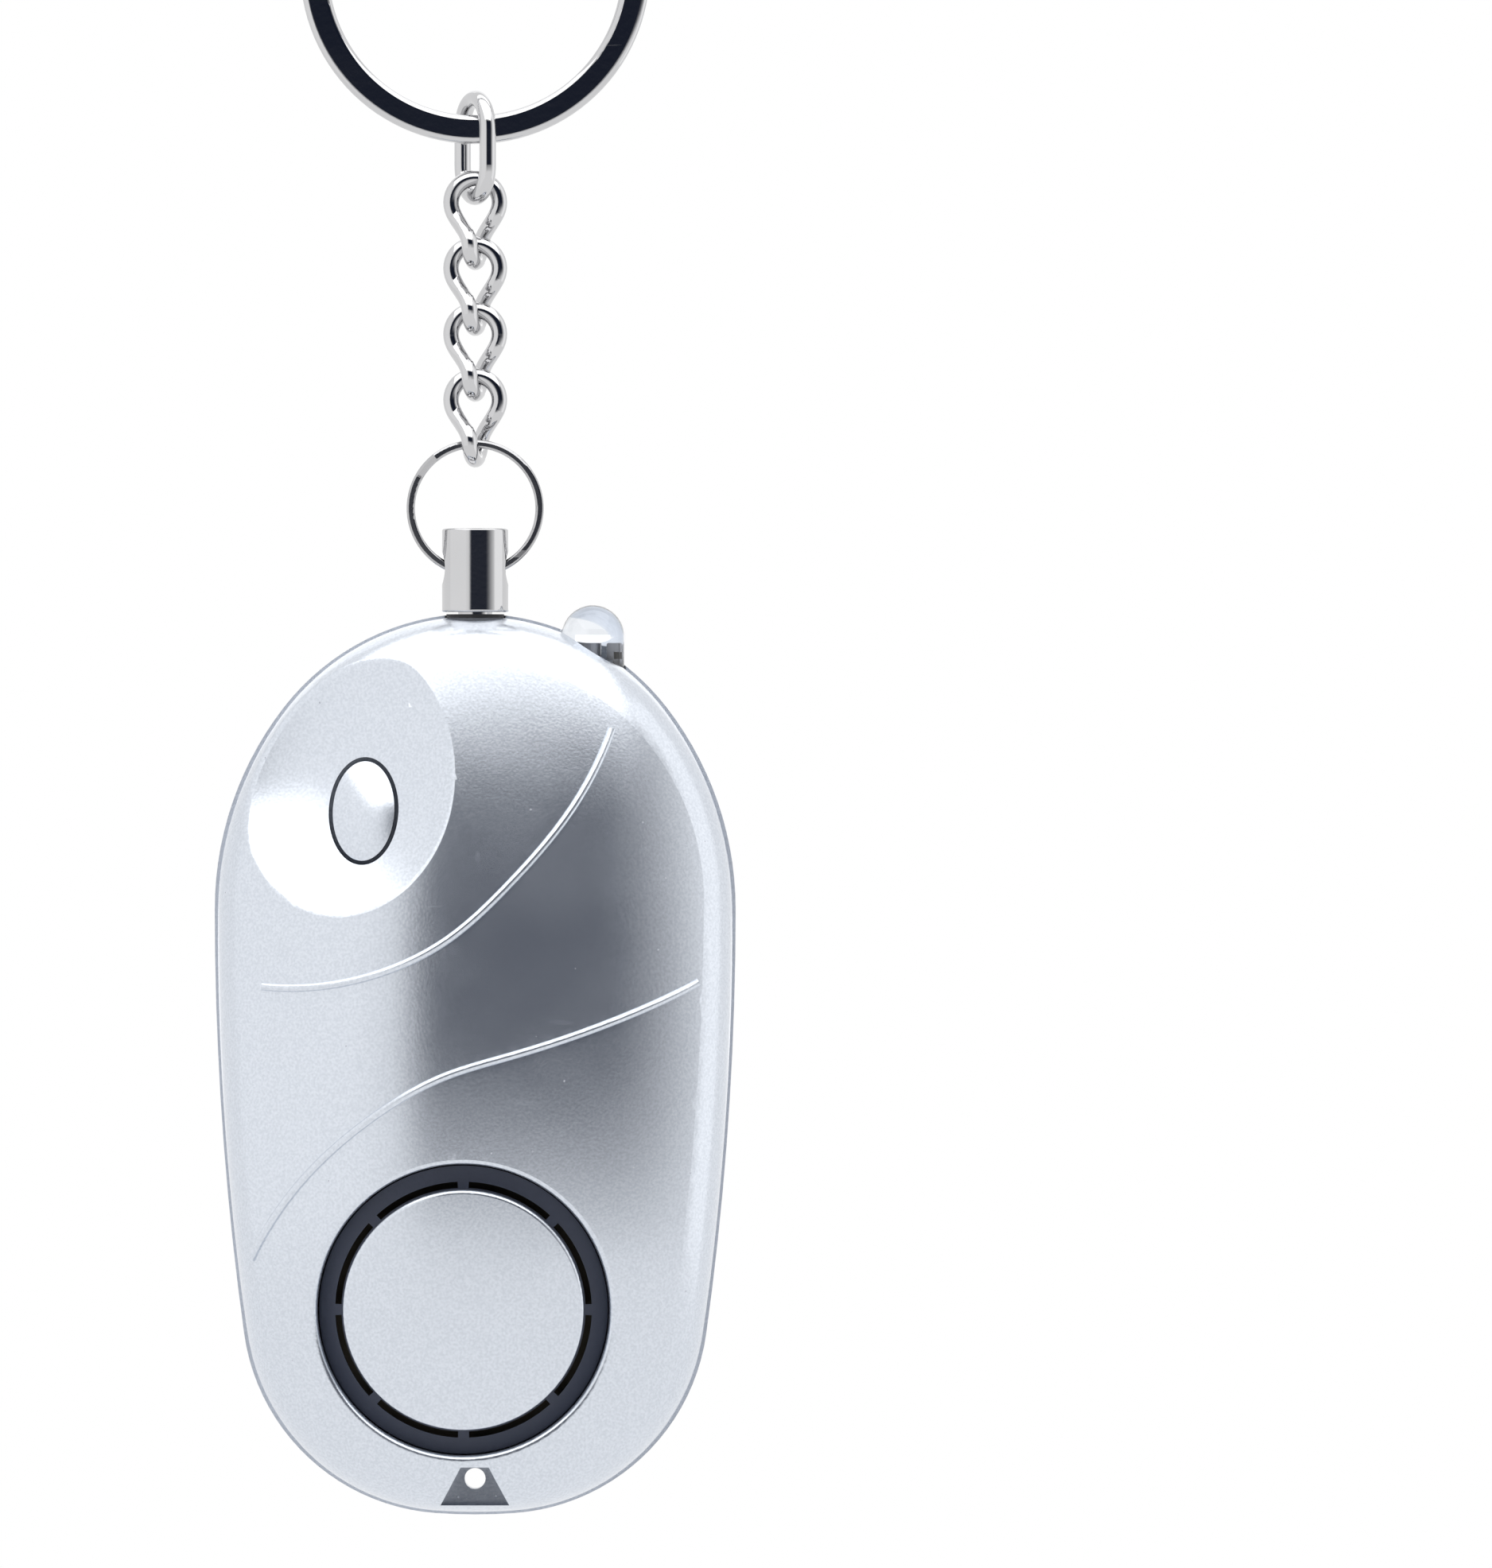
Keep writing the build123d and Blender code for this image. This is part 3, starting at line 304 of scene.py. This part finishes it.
def dust_group():
    """Sparse round specks, each where a scattered point lies close to the surface."""
    group, start, end = effect_group("dust_specks", ("Spacing", "Radius"), ("Dust",))
    scatter = group.nodes.new("ShaderNodeTexVoronoi")
    group.links.new(maths(group, "DIVIDE", 1.0, start.outputs["Spacing"]), scatter.inputs["Scale"])
    group.links.new(start.outputs["Position"], scatter.inputs["Vector"])
    reach = maths(group, "MULTIPLY", scatter.outputs["Distance"], start.outputs["Spacing"])
    group.links.new(maths(group, "LESS_THAN", reach, start.outputs["Radius"]), end.inputs["Dust"])
    return group


grain_effect = grain_group()
scuff_effect = scuff_group()
dust_effect = dust_group()


def place_effect(tree, group, settings):
    """One use of an effect group in a material, fed with object coordinates."""
    node = tree.nodes.new("ShaderNodeGroup")
    node.node_tree = group
    place = tree.nodes.new("ShaderNodeTexCoord")
    tree.links.new(place.outputs["Object"], node.inputs["Position"])
    for socket, value in settings.items():
        node.inputs[socket].default_value = value
    return node


def ramp(tree, mask, span, low_out, high_out):
    """A mask's values over a span, mapped to values between two others."""
    node = tree.nodes.new("ShaderNodeMapRange")
    low, high = span
    node.inputs["From Min"].default_value = low
    node.inputs["From Max"].default_value = high
    node.inputs["To Min"].default_value = low_out
    node.inputs["To Max"].default_value = high_out
    tree.links.new(mask, node.inputs["Value"])
    return node.outputs["Result"]


def two_tone(tree, mask, first, second):
    """A colour between two by a mask; each is three numbers or a socket."""
    node = tree.nodes.new("ShaderNodeMix")
    node.data_type = "RGBA"
    tree.links.new(mask, node.inputs["Factor"])
    for socket, colour in (("A", first), ("B", second)):
        if isinstance(colour, tuple):
            node.inputs[socket].default_value = (*colour, 1.0)
        else:
            tree.links.new(colour, node.inputs[socket])
    return node.outputs["Result"]


def raised(tree, shader, height, depth, strength):
    """A bump from a height mask into the shader's normal."""
    bump = tree.nodes.new("ShaderNodeBump")
    bump.inputs["Strength"].default_value = strength
    bump.inputs["Distance"].default_value = depth
    tree.links.new(height, bump.inputs["Height"])
    tree.links.new(bump.outputs["Normal"], shader.inputs["Normal"])


def dress(material, *node_names):
    """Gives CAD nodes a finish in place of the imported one."""
    for name in node_names:
        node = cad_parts[name]
        node.data.materials.clear()
        node.data.materials.append(material)


def silver_lacquer(name, smooth, metallic):
    """Satin silver lacquer with flake, haze, hairlines, dust and a thin clear coat."""
    material, tree, shader = new_material(name)
    grain = place_effect(tree, grain_effect, {"Grains per metre": FLAKES_PER_METRE})
    scuffs = place_effect(tree, scuff_effect, {"Amount": LACQUER_SCUFFS})
    dust = place_effect(tree, dust_effect, {"Spacing": DUST_SPACING, "Radius": DUST_RADIUS})
    flake = ramp(tree, grain.outputs["Grain"], FLAKE_RANGE, 0.0, 1.0)
    lacquer = two_tone(tree, flake, SILVER_DEEP, SILVER_LIGHT)
    tree.links.new(two_tone(tree, dust.outputs["Dust"], lacquer, DUST_COLOUR), shader.inputs["Base Color"])
    haze = ramp(tree, grain.outputs["Drift"], HAZE_RANGE, smooth, smooth + HAZE_STEP)
    tree.links.new(maths(tree, "ADD", haze, scuffs.outputs["Scuffs"]), shader.inputs["Roughness"])
    bare_metal = ramp(tree, dust.outputs["Dust"], (0.0, 1.0), metallic, 0.0)
    tree.links.new(bare_metal, shader.inputs["Metallic"])
    shader.inputs["Coat Weight"].default_value = CLEAR_COAT
    shader.inputs["Coat Roughness"].default_value = CLEAR_COAT_ROUGHNESS
    raised(tree, shader, grain.outputs["Grain"], FLAKE_HEIGHT, FLAKE_RELIEF)
    return material


dress(silver_lacquer("silver_lacquer", smooth=0.18, metallic=0.8),
      "front_shell", "light_button", "sound_cap")

# Back cover: the same plastic and lacquer, but less glossy. It shows as the rim round the
# front cover and is held by the three case screws.
dress(silver_lacquer("silver_back", smooth=0.42, metallic=0.5), "back_shell")

# Sound slot: a ring pressed into the front cover round the cap, matt from the mould,
# with the slots that let the siren out. Its dark blue grey colour is painted shade for the deep channel.
MOULD_GRAINS_PER_METRE = 3000.0
MOULD_GRAIN_HEIGHT = 0.02 * MM
MOULD_RELIEF = 0.6
MOULD_HAZE_STEP = 0.12


def moulded(name, light, deep, rough):
    """Moulded plastic or resin with a fine spark-eroded grain."""
    material, tree, shader = new_material(name)
    grain = place_effect(tree, grain_effect, {"Grains per metre": MOULD_GRAINS_PER_METRE})
    tree.links.new(two_tone(tree, grain.outputs["Drift"], deep, light), shader.inputs["Base Color"])
    dulled = ramp(tree, grain.outputs["Drift"], HAZE_RANGE, rough, rough + MOULD_HAZE_STEP)
    tree.links.new(dulled, shader.inputs["Roughness"])
    raised(tree, shader, grain.outputs["Grain"], MOULD_GRAIN_HEIGHT, MOULD_RELIEF)
    return material


# The ring's very dark blue grey is painted shade, standing in for the shade deep in the channel round the
# cap.
dress(moulded("slot_plastic", light=(0.07, 0.08, 0.115), deep=(0.045, 0.053, 0.08), rough=0.45),
      "sound_ring")

# Key ring, chain and pull pin: steel, plated bright and polished, with fine hairlines. The
# links pass through each other, and the case slides down off the pin.
PLATING_GRAINS_PER_METRE = 2500.0
PLATING_GRAIN_HEIGHT = 0.003 * MM
PLATING_RELIEF = 0.4
PLATING_HAZE_RANGE = (0.35, 0.7)
DULL_SHARE = 0.9


def bright_plating(name, colour, smooth, scuffed):
    """Bright plated metal with slow haze and hairlines."""
    material, tree, shader = new_material(name)
    scuffs = place_effect(tree, scuff_effect, {"Amount": scuffed})
    grain = place_effect(tree, grain_effect, {"Grains per metre": PLATING_GRAINS_PER_METRE})
    shader.inputs["Metallic"].default_value = 1.0
    dull = tuple(channel * DULL_SHARE for channel in colour)
    tree.links.new(two_tone(tree, grain.outputs["Drift"], colour, dull), shader.inputs["Base Color"])
    haze = ramp(tree, grain.outputs["Drift"], PLATING_HAZE_RANGE, smooth, smooth + HAZE_STEP)
    tree.links.new(maths(tree, "ADD", haze, scuffs.outputs["Scuffs"]), shader.inputs["Roughness"])
    raised(tree, shader, grain.outputs["Grain"], PLATING_GRAIN_HEIGHT, PLATING_RELIEF)
    return material


chain_links = [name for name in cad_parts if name.startswith("chain_link")]
dress(bright_plating("chrome_plating", (0.62, 0.62, 0.63), smooth=0.03, scuffed=0.12),
      "key_ring", "top_link", "pull_pin", *chain_links)

# Small split ring: thin spring steel without plating, so it is darker than the chain. It
# runs through the last link and the pull pin's cross hole.
dress(bright_plating("ring_steel", (0.5, 0.5, 0.51), smooth=0.15, scuffed=0.2), "small_ring")

# Lamp: a clear resin dome at the right shoulder, cast round a plated lead frame with a cup.
# The frame's two posts stand in line with the lamp's legs.
RESIN_COLOUR = (0.88, 0.91, 0.95, 1.0)
RESIN_IOR = 1.5
RESIN_SMOOTHEST = 0.03
RESIN_ROUGHEST = 0.09
POST_WIDTH = 0.45 * MM
POST_PITCH = 2.54 * MM
FRAME_BELOW_TOP = 2.7 * MM
CUP_RADIUS = 0.95 * MM
CUP_WALL = 0.2 * MM
CUP_FLOOR_RADIUS = 0.4 * MM
CUP_DEPTH = 0.45 * MM
CUP_HEIGHT = 1.6 * MM
PAD_WIDTH = 0.8 * MM
PAD_HEIGHT = 1.2 * MM
BROKEN_EDGE = 0.05 * MM
TURN_STEPS = 40
JOIN_DISTANCE = 0.002 * MM


def clear_resin():
    """Clear cast resin, very slightly uneven."""
    material, tree, shader = new_material("clear_resin")
    grain = place_effect(tree, grain_effect, {})
    shader.inputs["Base Color"].default_value = RESIN_COLOUR
    shader.inputs["Transmission Weight"].default_value = 1.0
    shader.inputs["IOR"].default_value = RESIN_IOR
    uneven = ramp(tree, grain.outputs["Drift"], HAZE_RANGE, RESIN_SMOOTHEST, RESIN_ROUGHEST)
    tree.links.new(uneven, shader.inputs["Roughness"])
    return material


def block(builder, low, high):
    """A box between two corners, with slightly broken edges."""
    made = bmesh.ops.create_cube(builder, size=1.0)["verts"]
    bmesh.ops.scale(builder, verts=made, vec=high - low)
    bmesh.ops.translate(builder, verts=made, vec=(low + high) / 2)
    edges = {edge for corner in made for edge in corner.link_edges}
    bmesh.ops.bevel(builder, geom=list(edges), offset=BROKEN_EDGE, segments=2, affect="EDGES")


def turned(builder, centre, profile):
    """A solid turned about an upright axis from points of radius and height."""
    corners = [builder.verts.new(centre + Vector((radius, 0.0, height))) for radius, height in profile]
    edges = [builder.edges.new(pair) for pair in zip(corners, corners[1:])]
    bmesh.ops.spin(builder, geom=corners + edges, cent=centre, axis=(0.0, 0.0, 1.0),
                   angle=2 * math.pi, steps=TURN_STEPS)
    bmesh.ops.remove_doubles(builder, verts=builder.verts, dist=JOIN_DISTANCE)


def lamp_frame():
    """The cup on its post, and the second post with its wire pad."""
    low, high = (Vector(corner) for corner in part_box("lamp_lens"))
    axis_x = (low.x + high.x) / 2
    axis_y = (low.y + high.y) / 2
    top = high.z - FRAME_BELOW_TOP
    half = POST_WIDTH / 2
    left = axis_x - POST_PITCH / 2
    right = axis_x + POST_PITCH / 2
    cup_middle = left + CUP_RADIUS - half
    builder = bmesh.new()
    block(builder, Vector((left - half, axis_y - half, low.z + half)),
          Vector((left + half, axis_y + half, top - CUP_HEIGHT / 2)))
    block(builder, Vector((right - half, axis_y - half, low.z + half)),
          Vector((right + half, axis_y + half, top - PAD_HEIGHT / 2)))
    block(builder, Vector((right + half - PAD_WIDTH, axis_y - half, top - PAD_HEIGHT)),
          Vector((right + half, axis_y + half, top)))
    turned(builder, Vector((cup_middle, axis_y, top)),
           [(0.0, -CUP_DEPTH), (CUP_FLOOR_RADIUS, -CUP_DEPTH), (CUP_RADIUS - CUP_WALL, 0.0),
            (CUP_RADIUS, 0.0), (CUP_RADIUS, -CUP_HEIGHT), (0.0, -CUP_HEIGHT)])
    plating = bright_plating("frame_plating", (0.3, 0.31, 0.34), smooth=0.35, scuffed=0.1)
    return finished_object("lamp_frame", builder, plating)


dress(clear_resin(), "lamp_lens")
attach(lamp_frame(), "housing")

# Pin socket, battery cradle, siren cup and switch with its plunger: black moulded parts
# inside the case. The socket's neck stands in the case's top.
dress(moulded("black_plastic", light=(0.03, 0.03, 0.032), deep=(0.018, 0.018, 0.02), rough=0.5),
      "pin_socket", "battery_cradle", "siren_cup", "tact_switch", "tact_plunger")

# Circuit board and its parts: green solder mask over glass cloth, with the coil, the
# transistor and the tone chip in dark epoxy. The sounder's two leads are insulated in red.
dress(moulded("solder_mask", light=(0.02, 0.2, 0.08), deep=(0.015, 0.15, 0.06), rough=0.25),
      "circuit_board")
dress(moulded("component_epoxy", light=(0.045, 0.045, 0.045), deep=(0.03, 0.03, 0.03), rough=0.6),
      "boost_coil", "boost_transistor", "sound_chip")
dress(moulded("lead_insulation", light=(0.55, 0.03, 0.03), deep=(0.45, 0.02, 0.02), rough=0.4),
      "siren_leads")

# Sounder: a fired ceramic disc on a brass plate. The plate's brass is painted dark as painted
# shade, so that the slots in front of it read dark. The pin's two contact leaves are bright.
dress(moulded("fired_ceramic", light=(0.85, 0.84, 0.8), deep=(0.78, 0.77, 0.73), rough=0.35),
      "piezo_ceramic")
dress(bright_plating("spring_brass", (0.8, 0.6, 0.28), smooth=0.22, scuffed=0.2), "socket_contacts")
# The plate's dark brown colour is painted shade behind the sound slots.
dress(bright_plating("painted_shade_brass", (0.17, 0.15, 0.12), smooth=0.4, scuffed=0.1), "piezo_plate")

# Button cells, their contacts, the lamp's legs and all screws: steel with a dull bright
# nickel or zinc plating.
button_cells = [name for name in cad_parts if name.startswith("coin_cell")]
dress(bright_plating("zinc_plating", (0.7, 0.7, 0.69), smooth=0.25, scuffed=0.2),
      "lamp_leads", "cell_contact", "cell_spring", "case_screws", "board_screws", *button_cells)
